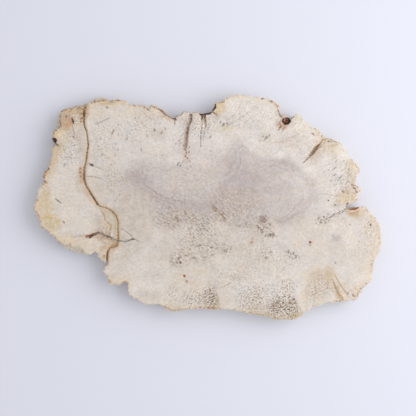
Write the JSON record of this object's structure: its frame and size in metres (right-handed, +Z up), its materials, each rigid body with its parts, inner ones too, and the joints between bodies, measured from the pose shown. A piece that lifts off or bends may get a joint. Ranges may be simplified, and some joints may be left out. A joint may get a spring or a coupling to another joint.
{
  "type": "petrified wood slice",
  "caption": "Flat slice of pale petrified wood with an irregular lobed outline, a polished face, open cracks and a rough bark rind around its wall.",
  "frame": {"origin": "middle of the slice's box, on the sawn lower face that it lies on", "axes": "+X along the slice's longest way, from the lobe left of the dark vein towards the wide right lobe; +Y across it, towards the side with the deep bay; +Z up, out of the polished face"},
  "size_m": [0.2, 0.1292, 0.011],
  "materials": {
    "stone": "satin"
  },
  "bodies": {
    "root": {"wood_slice": "stone"}
  },
  "joints": []
}
